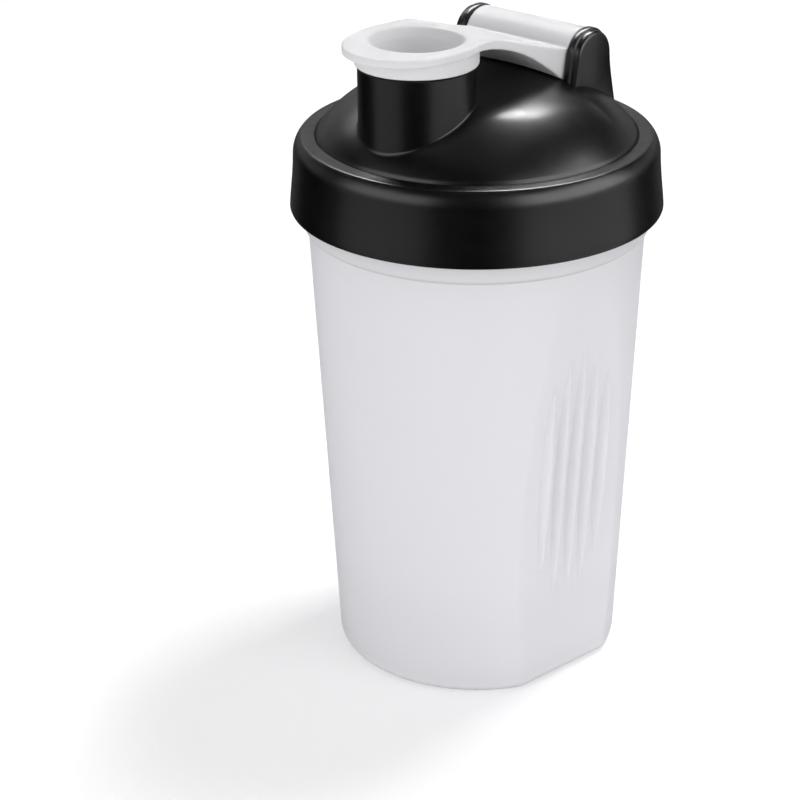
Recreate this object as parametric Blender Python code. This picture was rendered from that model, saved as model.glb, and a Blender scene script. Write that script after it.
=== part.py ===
"""Protein shaker bottle: cup, screw lid with spout, flip cap, lid gasket and mixing sieve.

Sizes are in millimetres and MM turns them into metres. The origin is the centre of the cup's
foot on z = 0, +Z is up, the spout is towards -Y and the cap's hinge runs along X at the back.
"""

import math

import bmesh
import bpy

MM = 0.001

# Cup body: a cone with two flat grips that lean out until they meet it.
CUP_BASE_R = 36.2
CUP_DRAFT = 0.0478
CUP_WALL = 1.8
CUP_BODY_H = 115.0
CUP_FLOOR_Z = 4.0
FOOT_RADIUS = 2.4
FOOT_BAND = 6.0
FOOT_RECESS = 1.2
GRIP_TURN = math.radians(-8.6)
GRIP_INSET = 2.9
GRIP_RUN_OUT = 0.34
GRIP_BLEND = 1.5
GRIP_HALF_ANGLE = 26.0

# Ribs on each grip.
RIB_COUNT = 5
RIB_PITCH = 4.6
RIB_WIDTH = 2.5
RIB_HEIGHT = 0.9
RIB_END_ROOM = 47.0
RIB_DROP = 1.0
RIB_STEP_DOWN = 4.3
RIB_ROOT = 0.7

# Collar and neck above the cup body.
COLLAR_OVERHANG = 2.3
COLLAR_H = 4.6
COLLAR_RIM = 0.6
NECK_H = 14.0
NECK_WALL = 1.8

# Screw thread: several short ridges on the neck, the same number inside the lid.
THREAD_STARTS = 3
THREAD_LEAD = 12.0
THREAD_SPAN = 150.0
THREAD_TURN = 1.5
THREAD_TOP_ROOM = 1.8
THREAD_DEPTH = 1.2
THREAD_FLANK = 0.6
THREAD_CLEARANCE = 0.4
THREAD_SEGMENTS = 14

# Lid band and dome.
LID_GAP = 0.4
BAND_WALL = 2.8
LAND_COVER = 2.7
BAND_LEAN = 1.4
BAND_ROUND = 6.0
CREASE_INSET = 7.0
CREASE_DROP = 1.0
DOME_OVERRUN = 4.0
DOME_SEMI_H = 28.0
DOME_WALL = 2.0
SHEET_H = 14.4
SHEET_SLOPE = 0.05
SHEET_ARCH_BACK = 0.0085
SHEET_ARCH_FRONT = 0.0035
RIDGE_BLEND = 1.6

# Spout.
SPOUT_INSET = 16.9
SPOUT_WALL = 2.4
SPOUT_TOP = 21.6
SPOUT_BORE_R = 11.6
SPOUT_NECK_WALL = 1.1
SPOUT_NECK_H = 3.0

# Hinge between the lid's ears and the flip cap's barrel.
HINGE_INSET = 17.6
HINGE_DROP = 5.1
BARREL_R = 6.9
BARREL_OVERHANG = 0.5
SIDE_GAP = 0.3
EAR_WALL = 3.5
EAR_MARGIN = 0.3
EAR_FRONT_FLARE = 1.3
EAR_BACK_FLARE = 3.2
STUB_R = 2.6
STUB_LENGTH = 2.2
PIVOT_GAP = 0.3
SADDLE_ROOM = 2.0
SADDLE_GAP = 0.6

# Flip cap.
SEAT_GAP = 0.3
CAP_SKIRT_WALL = 1.35
CAP_PLATE = 2.0
CAP_ROOF = 0.8
CAP_DISC_LIP = 0.55
TAB_INSET = 0.8
TAB_REACH = 4.5
PLUG_GAP = 0.4
PLUG_TAPER = 1.1
PLUG_DEPTH = 6.1
PLUG_WALL = 1.1
DISH_INSET = 0.1
SKIRT_GAP = 0.6

# Gasket and sieve under the lid.
GASKET_H = 1.4
GASKET_W = 3.1
SIEVE_FLANGE_H = 1.0
SIEVE_DEPTH = 7.9
SIEVE_PLATE = 1.2
SIEVE_WALL = 1.1
SIEVE_CLEARANCE = 0.8
SIEVE_ROWS = 3
SIEVE_BAR = 2.2
SIEVE_HUB_R = 4.0

ROUND_STEPS = 48

# Sizes and levels that follow from the ones above.
BODY_TOP_R = CUP_BASE_R + CUP_DRAFT * CUP_BODY_H
GRIP_BASE_D = CUP_BASE_R - GRIP_INSET
GRIP_TOP_D = BODY_TOP_R + GRIP_RUN_OUT
RIB_LENGTH = CUP_BODY_H - RIB_END_ROOM
RIB_MIDDLE_Z = CUP_BODY_H / 2 - RIB_DROP
COLLAR_Z = CUP_BODY_H + COLLAR_H
COLLAR_R = BODY_TOP_R + COLLAR_OVERHANG
RIM_Z = COLLAR_Z + NECK_H
NECK_R = BODY_TOP_R - 0.1
NECK_BORE_R = NECK_R - NECK_WALL
THREAD_PITCH = THREAD_LEAD / THREAD_STARTS
THREAD_RISE = THREAD_LEAD * THREAD_SPAN / 360
THREAD_Z = RIM_Z - THREAD_TOP_ROOM - THREAD_RISE
THREAD_ROOT_HALF = THREAD_PITCH / 4
THREAD_CREST_HALF = THREAD_ROOT_HALF - THREAD_FLANK
FLANGE_Z = RIM_Z + SEAT_GAP
GASKET_Z = FLANGE_Z + SIEVE_FLANGE_H + SEAT_GAP
LAND_Z = GASKET_Z + GASKET_H + SEAT_GAP
SKIRT_R = NECK_R + THREAD_DEPTH + THREAD_CLEARANCE
BAND_R = SKIRT_R + BAND_WALL
BAND_Z = COLLAR_Z + LID_GAP
CREST_Z = LAND_Z + LAND_COVER
BAND_H = CREST_Z - BAND_Z
CREASE_Z = CREST_Z - CREASE_DROP
CREASE_R = BAND_R - CREASE_INSET
DOME_SEMI_R = CREASE_R + DOME_OVERRUN
SPOUT_Y = SPOUT_INSET - CREASE_R
SPOUT_Z = CREASE_Z + SPOUT_TOP
SPOUT_RIM_Z = SPOUT_Z + SPOUT_NECK_H
SPOUT_R = SPOUT_BORE_R + SPOUT_WALL
SPOUT_NECK_R = SPOUT_BORE_R + SPOUT_NECK_WALL
CAP_UNDER_Z = SPOUT_RIM_Z + SEAT_GAP + CAP_ROOF
CAP_TOP_Z = CAP_UNDER_Z + CAP_PLATE
CAP_SKIRT_R = SPOUT_NECK_R + SKIRT_GAP + CAP_SKIRT_WALL
CAP_DISC_R = CAP_SKIRT_R + CAP_DISC_LIP
TAB_R = CAP_DISC_R - TAB_INSET
PLUG_R = SPOUT_BORE_R - PLUG_GAP
DISH_R = PLUG_R - DISH_INSET
HINGE_Y = CREASE_R - HINGE_INSET
HINGE_Z = SPOUT_Z - HINGE_DROP
BARREL_HALF = CAP_DISC_R + BARREL_OVERHANG
EAR_R = BARREL_R + EAR_MARGIN
EAR_INNER_X = BARREL_HALF + SIDE_GAP
EAR_OUTER_X = EAR_INNER_X + EAR_WALL
SADDLE_R = BARREL_R + SADDLE_ROOM
SADDLE_FRONT_Y = HINGE_Y - SADDLE_R
SADDLE_Z = HINGE_Z - BARREL_R - SADDLE_GAP


def material(name, colour, roughness):
    made = bpy.data.materials.new(name)
    made.use_nodes = True
    shader = made.node_tree.nodes["Principled BSDF"]
    shader.inputs["Base Color"].default_value = (*colour, 1.0)
    shader.inputs["Roughness"].default_value = roughness
    shader.inputs["Metallic"].default_value = 0.0
    made.diffuse_color = (*colour, 1.0)
    return made


def mesh_object(name, points, faces, origin=(0.0, 0.0, 0.0)):
    """An object with its origin at the given point and its faces turned outwards."""
    shape = bmesh.new()
    made = [shape.verts.new([(p[i] - origin[i]) * MM for i in range(3)]) for p in points]
    for face in faces:
        shape.faces.new([made[i] for i in face])
    bmesh.ops.recalc_face_normals(shape, faces=shape.faces)
    mesh = bpy.data.meshes.new(name)
    shape.to_mesh(mesh)
    shape.free()
    result = bpy.data.objects.new(name, mesh)
    result.location = [value * MM for value in origin]
    bpy.context.scene.collection.objects.link(result)
    return result


def helper(tool):
    tool.hide_render = True
    tool.display_type = "WIRE"
    return tool


def combine(body, tool, operation):
    helper(tool)
    step = body.modifiers.new(tool.name, "BOOLEAN")
    step.operation = operation
    step.object = tool
    step.solver = "EXACT"
    return body


def dress(body, surface):
    body.data.materials.clear()
    body.data.materials.append(surface)
    body.data.shade_smooth()
    body.data.set_sharp_from_angle(angle=math.radians(32))
    return body


def stacked(name, rings, loop=False, origin=(0.0, 0.0, 0.0)):
    """A skin over rings with equal point counts, closed by a cap at each end or on itself."""
    count = len(rings[0])
    points = [point for ring in rings for point in ring]
    faces = []
    joints = len(rings) if loop else len(rings) - 1
    for row in range(joints):
        low = row * count
        high = (row + 1) % len(rings) * count
        for i in range(count):
            j = (i + 1) % count
            faces.append((low + i, low + j, high + j, high + i))
    if not loop:
        faces.append(tuple(range(count)))
        faces.append(tuple(range(len(points) - count, len(points))))
    return mesh_object(name, points, faces, origin)


def circle(radius, z, centre=(0.0, 0.0), phase=0.0):
    turn = 2 * math.pi / ROUND_STEPS
    ring = []
    for i in range(ROUND_STEPS):
        angle = turn * (i + phase)
        ring.append((centre[0] + radius * math.cos(angle), centre[1] + radius * math.sin(angle), z))
    return ring


def turned_ring(name, profile, centre=(0.0, 0.0), phase=0.0):
    """A ring: a closed profile of (radius, z) turned about a vertical axis."""
    return stacked(name, [circle(r, z, centre, phase) for r, z in profile], loop=True)


def turned_solid(name, profile, centre=(0.0, 0.0)):
    """A turned body whose profile starts and ends on flat round caps."""
    return stacked(name, [circle(r, z, centre) for r, z in profile])


def prism_along_x(name, outline, half, origin=(0.0, 0.0, 0.0)):
    """An outline of (y, z) carried from -half to +half along X."""
    return prism_between(name, outline, -half, half, origin)


def prism_between(name, outline, x_low, x_high, origin=(0.0, 0.0, 0.0)):
    near = [(x_high, y, z) for y, z in outline]
    far = [(x_low, y, z) for y, z in outline]
    return stacked(name, [far, near], origin=origin)


def prism_up(name, outline, low, high):
    return stacked(name, [[(x, y, low) for x, y in outline], [(x, y, high) for x, y in outline]])


def arc(centre, radius, start, end, steps):
    """Points of a circular arc from start to end, in degrees."""
    points = []
    for i in range(steps + 1):
        angle = math.radians(start + (end - start) * i / steps)
        points.append((centre[0] + radius * math.cos(angle), centre[1] + radius * math.sin(angle)))
    return points


def soft_min(a, b, blend):
    overlap = max(blend - abs(a - b), 0.0) / blend
    return min(a, b) - overlap * overlap * blend / 4


def ridge(name, root_r, crest_r, helix_z, start):
    """One thread ridge on a helix. It fades in and out at its ends."""
    rings = []
    for i in range(THREAD_SEGMENTS + 1):
        share = i / THREAD_SEGMENTS
        angle = math.radians(start + THREAD_SPAN * share)
        z = helix_z + THREAD_RISE * share
        fade = min(1.0, 0.12 + min(share, 1 - share) * THREAD_SEGMENTS / 2)
        crest = root_r + (crest_r - root_r) * fade
        inside = root_r - math.copysign(0.5, crest_r - root_r)
        section = (
            (inside, -THREAD_ROOT_HALF),
            (crest, -THREAD_CREST_HALF),
            (crest, THREAD_CREST_HALF),
            (inside, THREAD_ROOT_HALF),
        )
        rings.append([(r * math.cos(angle), r * math.sin(angle), z + dz) for r, dz in section])
    return stacked(name, rings)


def add_thread(body, root_r, crest_r, helix_z):
    for i in range(THREAD_STARTS):
        start = THREAD_TURN + 360 / THREAD_STARTS * i
        tool = ridge(f"{body.name}_thread_{i}", root_r, crest_r, helix_z, start)
        combine(body, tool, "UNION")


def grip_surface(z):
    """Distance of a grip from the cup's axis at a height."""
    return GRIP_BASE_D + (GRIP_TOP_D - GRIP_BASE_D) * (z / CUP_BODY_H) ** 2


def cup_radius(angle, z, inset):
    cone = CUP_BASE_R + CUP_DRAFT * z - inset
    lean = max(abs(math.cos(angle - GRIP_TURN)), 0.2)
    return soft_min(cone, (grip_surface(z) - inset) / lean, GRIP_BLEND)


def cup_angles():
    """Column directions, closer together at the edges of the two grips."""
    edge = GRIP_HALF_ANGLE
    steps = [0, edge * 0.33, edge * 0.63, edge - 4, edge, edge + 4, edge + 12]
    rest = [edge + 12 + (90 - edge - 12) * i / 6 for i in range(1, 6)]
    quarter = steps + rest
    angles = quarter + [90] + [180 - value for value in reversed(quarter)]
    whole = angles + [360 - value for value in reversed(angles[1:-1])]
    return [math.radians(value) + GRIP_TURN for value in whole]


def cup_ring(z, inset):
    ring = []
    for angle in cup_angles():
        radius = cup_radius(angle, z, inset)
        ring.append((radius * math.cos(angle), radius * math.sin(angle), z))
    return ring


def neck_ring(radius, z):
    return [(radius * math.cos(angle), radius * math.sin(angle), z) for angle in cup_angles()]


def body_levels():
    return [CUP_BODY_H * share for share in (0.14, 0.3, 0.46, 0.62, 0.77, 0.91)]


def make_cup(surface):
    outside = [
        cup_ring(z, inset)
        for z, inset in (
            (FOOT_RECESS, FOOT_RADIUS + FOOT_BAND + 1.0),
            (0.0, FOOT_RADIUS + FOOT_BAND),
            (0.0, FOOT_RADIUS),
            (FOOT_RADIUS * 0.3, FOOT_RADIUS * 0.3),
            (FOOT_RADIUS, 0.0),
        )
    ]
    outside += [cup_ring(z, 0.0) for z in body_levels()]
    collar = [
        (BODY_TOP_R, CUP_BODY_H),
        (BODY_TOP_R + COLLAR_OVERHANG * 0.2, CUP_BODY_H + COLLAR_H * 0.45),
        (COLLAR_R - 0.1, COLLAR_Z - COLLAR_RIM),
        (COLLAR_R, COLLAR_Z),
        (NECK_R, COLLAR_Z),
        (NECK_R, RIM_Z - 0.5),
        (NECK_R - 0.5, RIM_Z),
        (NECK_BORE_R + 0.5, RIM_Z),
        (NECK_BORE_R, RIM_Z - 0.5),
        (NECK_BORE_R, COLLAR_Z),
    ]
    inside = [cup_ring(z, CUP_WALL) for z in reversed(body_levels())]
    inside.append(cup_ring(CUP_FLOOR_Z + 3.0, CUP_WALL + 0.4))
    inside.append(cup_ring(CUP_FLOOR_Z, CUP_WALL + 4.5))
    cup = stacked("cup", outside + [neck_ring(r, z) for r, z in collar] + inside)
    add_thread(cup, NECK_R, NECK_R + THREAD_DEPTH, THREAD_Z)
    for side in (0, 1):
        for index in range(RIB_COUNT):
            combine(cup, make_rib(side, index - (RIB_COUNT - 1) / 2), "UNION")
    return dress(cup, surface)


def make_rib(side, place):
    """A lens-shaped rib, pointed at both ends, standing on a grip."""
    turn = GRIP_TURN + math.pi * side
    out = (math.cos(turn), math.sin(turn))
    across = (-math.sin(turn), math.cos(turn))
    half = RIB_LENGTH / 2 - RIB_STEP_DOWN * place * place / 2
    stations = 7
    rings = []
    for i in range(stations + 1):
        share = i / stations
        swell = max(math.sin(math.pi * share), 0.0) ** 0.6
        width = RIB_WIDTH / 2 * max(swell, 0.08)
        height = RIB_HEIGHT * max(swell, 0.05)
        z = RIB_MIDDLE_Z + half * (2 * share - 1)
        base = grip_surface(z)
        ring = []
        for shift, rise in ((-1, -RIB_ROOT), (-0.7, height * 0.6), (0, height),
                            (0.7, height * 0.6), (1, -RIB_ROOT)):
            u = RIB_PITCH * place + width * shift
            d = base + rise
            ring.append((out[0] * d + across[0] * u, out[1] * d + across[1] * u, z))
        rings.append(ring)
    return stacked(f"cup_rib_{side}_{int(place * 2)}", rings)


def dome_side(radius):
    """Height of the plain round dome over its crease."""
    rise = math.sqrt(max(1 - (radius / DOME_SEMI_R) ** 2, 0.0))
    start = math.sqrt(1 - (CREASE_R / DOME_SEMI_R) ** 2)
    return CREASE_Z + DOME_SEMI_H * (rise - start)


def dome_sheet(x, y):
    """Height of the flatter face that runs from the hinge down to the spout."""
    back = min(max((y + 5.0) / (SADDLE_FRONT_Y + 5.0), 0.0), 1.0) ** 2
    arch = SHEET_ARCH_FRONT + (SHEET_ARCH_BACK - SHEET_ARCH_FRONT) * back
    fall = SHEET_SLOPE * max(SADDLE_FRONT_Y - y, 0.0)
    return CREASE_Z + SHEET_H - arch * x * x - fall


def dome_ring(radius):
    ring = []
    for x, y, _ in circle(radius, 0.0):
        side = dome_side(radius)
        share = min(max((CREASE_R - radius) / 5.0, 0.0), 1.0)
        blended = soft_min(side, dome_sheet(x, y), RIDGE_BLEND)
        ring.append((x, y, side + (blended - side) * share))
    return ring


def band_profile():
    """Outer side of the lid's band, from its lower edge over the crest to the crease."""
    lean_top = BAND_R - BAND_LEAN
    centre_r = lean_top - BAND_ROUND + 0.3
    centre_z = CREST_Z - BAND_ROUND
    points = [(BAND_R - 0.4, BAND_Z), (BAND_R, BAND_Z + 0.4)]
    points.append((BAND_R - BAND_LEAN * 0.6, BAND_Z + BAND_H * 0.36))
    points += arc((centre_r, centre_z), BAND_ROUND, 0, 66, 4)
    points.append((BAND_R - 5.4, CREST_Z))
    points.append((CREASE_R + 0.7, CREST_Z - 0.35))
    points.append((CREASE_R, CREASE_Z))
    return points


def lid_body():
    rings = [circle(r, z) for r, z in band_profile()]
    for share in (0.93, 0.84, 0.73, 0.62, 0.5, 0.34, 0.15):
        rings.append(dome_ring(CREASE_R * share))
    return stacked("lid", rings)


def lid_cavity():
    """The space under the lid. Its roof drops under the hinge, where the saddle is cut."""
    roof_r = CREASE_R / 2
    profile = [(SKIRT_R + 0.4, BAND_Z - 1.0), (SKIRT_R + 0.4, BAND_Z)]
    profile += [(SKIRT_R, BAND_Z + 0.6), (SKIRT_R, LAND_Z - 2.5)]
    profile += [(SKIRT_R - 1.5, LAND_Z), (CREASE_R - 1.8, LAND_Z)]
    for share in (0.93, 0.82, 0.71, 0.6):
        radius = CREASE_R * share
        profile.append((radius - 0.6, dome_side(radius) - DOME_WALL * 1.3))
    profile.append((roof_r, CREASE_Z + SHEET_H - SHEET_SLOPE * 30 - DOME_WALL))
    cavity = turned_solid("lid_cavity", profile)
    floor = SADDLE_Z - DOME_WALL - 0.8
    half = EAR_OUTER_X - 1.0
    outline = [(SADDLE_FRONT_Y - 2, floor), (BAND_R, floor), (BAND_R, CAP_TOP_Z)]
    outline.append((SADDLE_FRONT_Y - 2, CAP_TOP_Z))
    return combine(cavity, prism_along_x("lid_cavity_step", outline, half), "DIFFERENCE")


def ear_outline():
    front = HINGE_Y - EAR_R - EAR_FRONT_FLARE
    back = HINGE_Y + EAR_R + EAR_BACK_FLARE
    outline = [(front, CREASE_Z), (front + 0.3, HINGE_Z - 4.6)]
    outline += arc((HINGE_Y, HINGE_Z), EAR_R, 180, 0, 14)
    outline += [(HINGE_Y + EAR_R + 0.4, HINGE_Z - 3.4), (back, CREASE_Z + 2.0)]
    outline.append((back, CREASE_Z))
    return outline


def saddle_outline():
    """The room behind the crest in which the barrel and the cap's leg turn."""
    low = 180 + math.degrees(math.asin((HINGE_Z - SADDLE_Z) / SADDLE_R))
    far = BAND_R + 5
    outline = arc((HINGE_Y, HINGE_Z), SADDLE_R, 180, low, 6)
    outline += [(far, SADDLE_Z), (far, CAP_TOP_Z + 10), (SADDLE_FRONT_Y, CAP_TOP_Z + 10)]
    return outline


def make_lid(surface):
    lid = lid_body()
    for side, name in ((-1, "left"), (1, "right")):
        low, high = sorted((side * EAR_INNER_X, side * EAR_OUTER_X))
        combine(lid, prism_between(f"lid_ear_{name}", ear_outline(), low, high), "UNION")
    spout = [(SPOUT_R, CREASE_Z - 1.0), (SPOUT_R, SPOUT_Z), (SPOUT_NECK_R, SPOUT_Z)]
    spout += [(SPOUT_NECK_R, SPOUT_RIM_Z - 0.3), (SPOUT_NECK_R - 0.3, SPOUT_RIM_Z)]
    centre = (0.0, SPOUT_Y)
    combine(lid, turned_solid("lid_spout", spout, centre=centre), "UNION")
    combine(lid, prism_along_x("lid_saddle", saddle_outline(), EAR_INNER_X), "DIFFERENCE")
    combine(lid, lid_cavity(), "DIFFERENCE")
    bore = [(SPOUT_BORE_R, CREASE_Z + 1.0), (SPOUT_BORE_R, SPOUT_RIM_Z + 2)]
    combine(lid, turned_solid("lid_bore", bore, centre=centre), "DIFFERENCE")
    socket = arc((HINGE_Y, HINGE_Z), STUB_R + PIVOT_GAP, 0, 345, 23)
    reach = BARREL_HALF + STUB_LENGTH + PIVOT_GAP
    combine(lid, prism_along_x("lid_sockets", socket, reach), "DIFFERENCE")
    add_thread(lid, SKIRT_R, SKIRT_R - THREAD_DEPTH + 0.1, THREAD_Z - THREAD_PITCH / 2)
    return dress(lid, surface)


def cap_side_outline():
    """Side view of the plate, the sloping arm and the leg in front of the barrel."""
    start = SPOUT_Y - TAB_REACH - TAB_R - 4
    run = HINGE_Y - SPOUT_Y
    drop = CAP_TOP_Z - HINGE_Z
    top = [(start, CAP_TOP_Z), (SPOUT_Y + run * 0.21, CAP_TOP_Z)]
    for along, fall in ((0.29, 0.05), (0.38, 0.15), (0.51, 0.31), (0.66, 0.5)):
        top.append((SPOUT_Y + run * along, CAP_TOP_Z - drop * fall))
    top.append((HINGE_Y - BARREL_R + 0.3, HINGE_Z + 3.2))
    inner = [(HINGE_Y, HINGE_Z + 1.0), (HINGE_Y, HINGE_Z - 4.0)]
    reach = SADDLE_R - 0.3
    leg = [(HINGE_Y - reach + 1.1, HINGE_Z - 3.2), (HINGE_Y - reach + 0.7, HINGE_Z - 2.5)]
    leg += [(HINGE_Y - reach + 0.1, HINGE_Z - 1.6), (HINGE_Y - reach - 1.2, HINGE_Z - 1.1)]
    under = []
    for along, fall in ((0.73, 0.1), (0.66, -0.08), (0.58, -0.28), (0.51, -0.45),
                        (0.43, -0.62), (0.33, -0.77)):
        depth = CAP_UNDER_Z - HINGE_Z
        under.append((SPOUT_Y + run * along, CAP_UNDER_Z - depth * (1 + fall)))
    under.append((SPOUT_Y + run * 0.2, CAP_UNDER_Z))
    under.append((start, CAP_UNDER_Z))
    return top + inner + leg + under


def cap_plan_outline():
    """Plan of the flip cap: round tab, disc over the spout and straight arm."""
    front = (0.0, SPOUT_Y - TAB_REACH)
    lean = math.degrees(math.asin((CAP_DISC_R - TAB_R) / TAB_REACH))
    outline = arc(front, TAB_R, 180 + lean, 360 - lean, 24)
    outline += arc((0.0, SPOUT_Y), CAP_DISC_R, -lean, 20, 4)
    waist = SPOUT_Y + CAP_DISC_R - 1.2
    back = HINGE_Y + BARREL_R + 2
    outline += [(BARREL_HALF, waist), (BARREL_HALF, back)]
    outline += [(-BARREL_HALF, back), (-BARREL_HALF, waist)]
    outline += arc((0.0, SPOUT_Y), CAP_DISC_R, 160, 180 + lean, 4)[:-1]
    return outline


def make_flip_cap(surface):
    pivot = (0.0, HINGE_Y, HINGE_Z)
    half = CAP_SKIRT_R * 2
    cap = prism_along_x("flip_cap", cap_side_outline(), half, origin=pivot)
    barrel = arc((HINGE_Y, HINGE_Z), BARREL_R, 0, 350, 35)
    combine(cap, prism_along_x("cap_barrel", barrel, half + 1.0), "UNION")
    plan = prism_up("cap_plan", cap_plan_outline(), HINGE_Z - 12, CAP_TOP_Z + 5)
    combine(cap, plan, "INTERSECT")
    stub = arc((HINGE_Y, HINGE_Z), STUB_R, 0, 345, 23)
    combine(cap, prism_along_x("cap_stubs", stub, BARREL_HALF + STUB_LENGTH), "UNION")
    centre = (0.0, SPOUT_Y)
    groove_z = SPOUT_RIM_Z + SEAT_GAP
    skirt_r = SPOUT_NECK_R + SKIRT_GAP
    plug_z = groove_z - PLUG_DEPTH
    drum = [(CAP_SKIRT_R, plug_z), (CAP_SKIRT_R, CAP_UNDER_Z + 0.7)]
    combine(cap, turned_solid("cap_drum", drum, centre=centre), "UNION")
    lip_z = SPOUT_Z + SEAT_GAP
    groove = [(PLUG_R - PLUG_TAPER - 0.6, plug_z - 1.0), (PLUG_R - PLUG_TAPER - 0.6, plug_z)]
    groove += [(PLUG_R - PLUG_TAPER, plug_z + 0.6), (PLUG_R, groove_z), (skirt_r, groove_z)]
    groove += [(skirt_r, lip_z + 0.4), (skirt_r + 0.3, lip_z)]
    groove += [(CAP_SKIRT_R + 2.0, lip_z), (CAP_SKIRT_R + 2.0, plug_z - 1.0)]
    combine(cap, turned_ring("cap_groove", groove, centre, phase=0.5), "DIFFERENCE")
    floor_r = PLUG_R - PLUG_TAPER - PLUG_WALL
    dish = [(floor_r, plug_z + PLUG_WALL + 0.1), (PLUG_R - PLUG_WALL, groove_z)]
    dish += [(DISH_R, CAP_TOP_Z), (DISH_R + 0.6, CAP_TOP_Z + 2)]
    combine(cap, turned_solid("cap_dish", dish, centre=centre), "DIFFERENCE")
    return dress(cap, surface)


def make_gasket(surface):
    outer = SKIRT_R - 1.9
    inner = outer - GASKET_W
    top = GASKET_Z + GASKET_H
    profile = [(inner, GASKET_Z), (outer, GASKET_Z), (outer, top), (inner, top)]
    return dress(turned_ring("lid_gasket", profile), surface)


def sieve_slots(plate_r, low):
    """All the openings of the sieve's floor as one mesh of ring sectors."""
    points = []
    faces = []
    pitch = (plate_r - SIEVE_HUB_R) / SIEVE_ROWS
    for row in range(SIEVE_ROWS):
        near = SIEVE_HUB_R + pitch * row
        far = near + pitch - SIEVE_BAR
        count = 6 * (row + 1)
        for i in range(count):
            middle = 2 * math.pi * (i + 0.5 * (row % 2)) / count
            base = len(points)
            outline = []
            for radius, order in ((near, (-1, 0, 1)), (far, (1, 0, -1))):
                half = math.pi / count - SIEVE_BAR / 2 / radius
                outline += [(radius, middle + half * k) for k in order]
            for z in (low, low + SIEVE_PLATE + 2):
                points += [(r * math.cos(a), r * math.sin(a), z) for r, a in outline]
            faces.append(tuple(range(base, base + 6)))
            faces.append(tuple(range(base + 6, base + 12)))
            for k in range(6):
                n = (k + 1) % 6
                faces.append((base + k, base + n, base + 6 + n, base + 6 + k))
    return mesh_object("sieve_slots", points, faces)


def make_sieve(surface):
    outer = NECK_BORE_R - SIEVE_CLEARANCE
    inner = outer - SIEVE_WALL
    top = FLANGE_Z + SIEVE_FLANGE_H
    floor = top - SIEVE_DEPTH
    flange_r = NECK_R - 0.3
    profile = [(outer - 0.3, floor), (outer, floor + 0.3), (outer, FLANGE_Z)]
    profile += [(flange_r, FLANGE_Z), (flange_r, top), (inner, top), (inner, floor + SIEVE_PLATE)]
    sieve = turned_solid("mixing_sieve", profile)
    combine(sieve, sieve_slots(inner, floor - 1), "DIFFERENCE")
    return dress(sieve, surface)


def main():
    for obj in list(bpy.data.objects):
        bpy.data.objects.remove(obj)
    frosted = material("frosted_polypropylene", (0.86, 0.86, 0.88), 0.45)
    black = material("black_polypropylene", (0.012, 0.012, 0.013), 0.32)
    white = material("white_polypropylene", (0.85, 0.85, 0.86), 0.35)
    silicone = material("clear_silicone", (0.75, 0.75, 0.76), 0.5)
    grey = material("sieve_polypropylene", (0.8, 0.8, 0.82), 0.45)
    make_cup(frosted)
    make_lid(black)
    make_flip_cap(white)
    make_gasket(silicone)
    make_sieve(grey)


main()
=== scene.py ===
"""Looks of the protein shaker bottle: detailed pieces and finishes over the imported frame."""

import math

import bmesh
import bpy
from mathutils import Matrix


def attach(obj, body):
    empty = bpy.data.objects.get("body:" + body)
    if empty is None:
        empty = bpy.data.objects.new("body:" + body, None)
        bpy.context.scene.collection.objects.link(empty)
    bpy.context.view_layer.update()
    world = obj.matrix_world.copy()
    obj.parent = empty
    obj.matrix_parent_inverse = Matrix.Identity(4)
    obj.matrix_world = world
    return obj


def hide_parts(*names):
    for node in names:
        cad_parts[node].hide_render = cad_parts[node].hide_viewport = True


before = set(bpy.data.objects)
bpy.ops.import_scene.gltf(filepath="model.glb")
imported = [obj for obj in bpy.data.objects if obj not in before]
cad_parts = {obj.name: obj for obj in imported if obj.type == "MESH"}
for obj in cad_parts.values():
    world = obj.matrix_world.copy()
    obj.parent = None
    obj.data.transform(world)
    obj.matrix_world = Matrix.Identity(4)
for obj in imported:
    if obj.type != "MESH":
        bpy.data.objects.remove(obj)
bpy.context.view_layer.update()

MM = 0.001

# Lengths are in millimetres and angles in degrees, except where a comment says otherwise.

# Cup.
CUP_BASE_R = 36.2
CUP_DRAFT = 0.0478
CUP_WALL = 1.8
CUP_BODY_H = 115.0
CUP_FLOOR_Z = 4.0
BODY_TOP_R = CUP_BASE_R + CUP_DRAFT * CUP_BODY_H
GRIP_TURN = math.radians(-8.6)  # In radians.
GRIP_BASE_D = CUP_BASE_R - 2.9
GRIP_TOP_D = BODY_TOP_R + 0.34
GRIP_BLEND = 0.4
FOOT_R = 2.4
COLLAR_Z = 119.6
COLLAR_R = 44.0
NECK_R = 41.6
NECK_BORE_R = 39.8
RIM_Z = 133.6
RIB_MIDDLE_Z = 57.5
RIB_HALF = 36.0
RIB_PITCH = 4.6
RIB_STEP_DOWN = 4.3
RIB_WIDTH = 4.2
RIB_HEIGHT = 1.9
RIB_FLANK = 0.65
RIBS_ASIDE = 2
GRIP_SPAN = 18.0
GRIP_COLUMNS = 94
SIDE_COLUMNS = 24
BODY_RINGS = 112
INSIDE_TOP_Z = 109.0
INSIDE_RINGS = 40
FLOOR_CORNER_R = 4.0

# Thread.
THREAD_STARTS = 3
THREAD_LEAD = 12.0
THREAD_SPAN = 150.0
THREAD_Z = 126.8
THREAD_TURN = 1.5
NECK_THREAD_DEPTH = 1.2
LID_THREAD_DEPTH = 1.1
LID_THREAD_DROP = 2.0

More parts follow.
